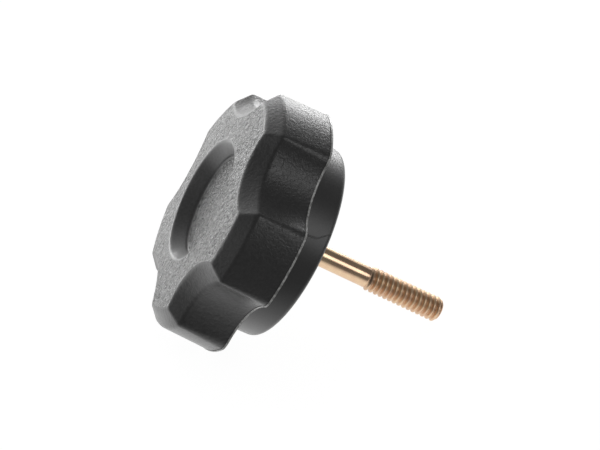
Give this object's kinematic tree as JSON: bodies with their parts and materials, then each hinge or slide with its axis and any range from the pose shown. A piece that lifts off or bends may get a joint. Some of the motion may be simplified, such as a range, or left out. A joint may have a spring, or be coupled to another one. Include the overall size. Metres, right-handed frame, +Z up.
{
  "type": "lobed hand knob",
  "caption": "Lobed hand knob moulded in black plastic, with a crowned, grained and recessed face, a round boss and a plated threaded stud, lying at rest.",
  "frame": {"origin": "centre of the bounding box, on the surface that the knob lies on", "axes": "+Z up from that surface; +X level, from the grip face towards the tip of the stud; +Y makes it right-handed"},
  "size_m": [0.0558, 0.0502, 0.047],
  "materials": {
    "head_plastic": "black moulded plastic, grained face, satin sides",
    "stud_plating": "yellow zinc plated steel"
  },
  "bodies": {
    "root": {"moulded_head": "head_plastic", "threaded_stud": "stud_plating"}
  },
  "joints": []
}
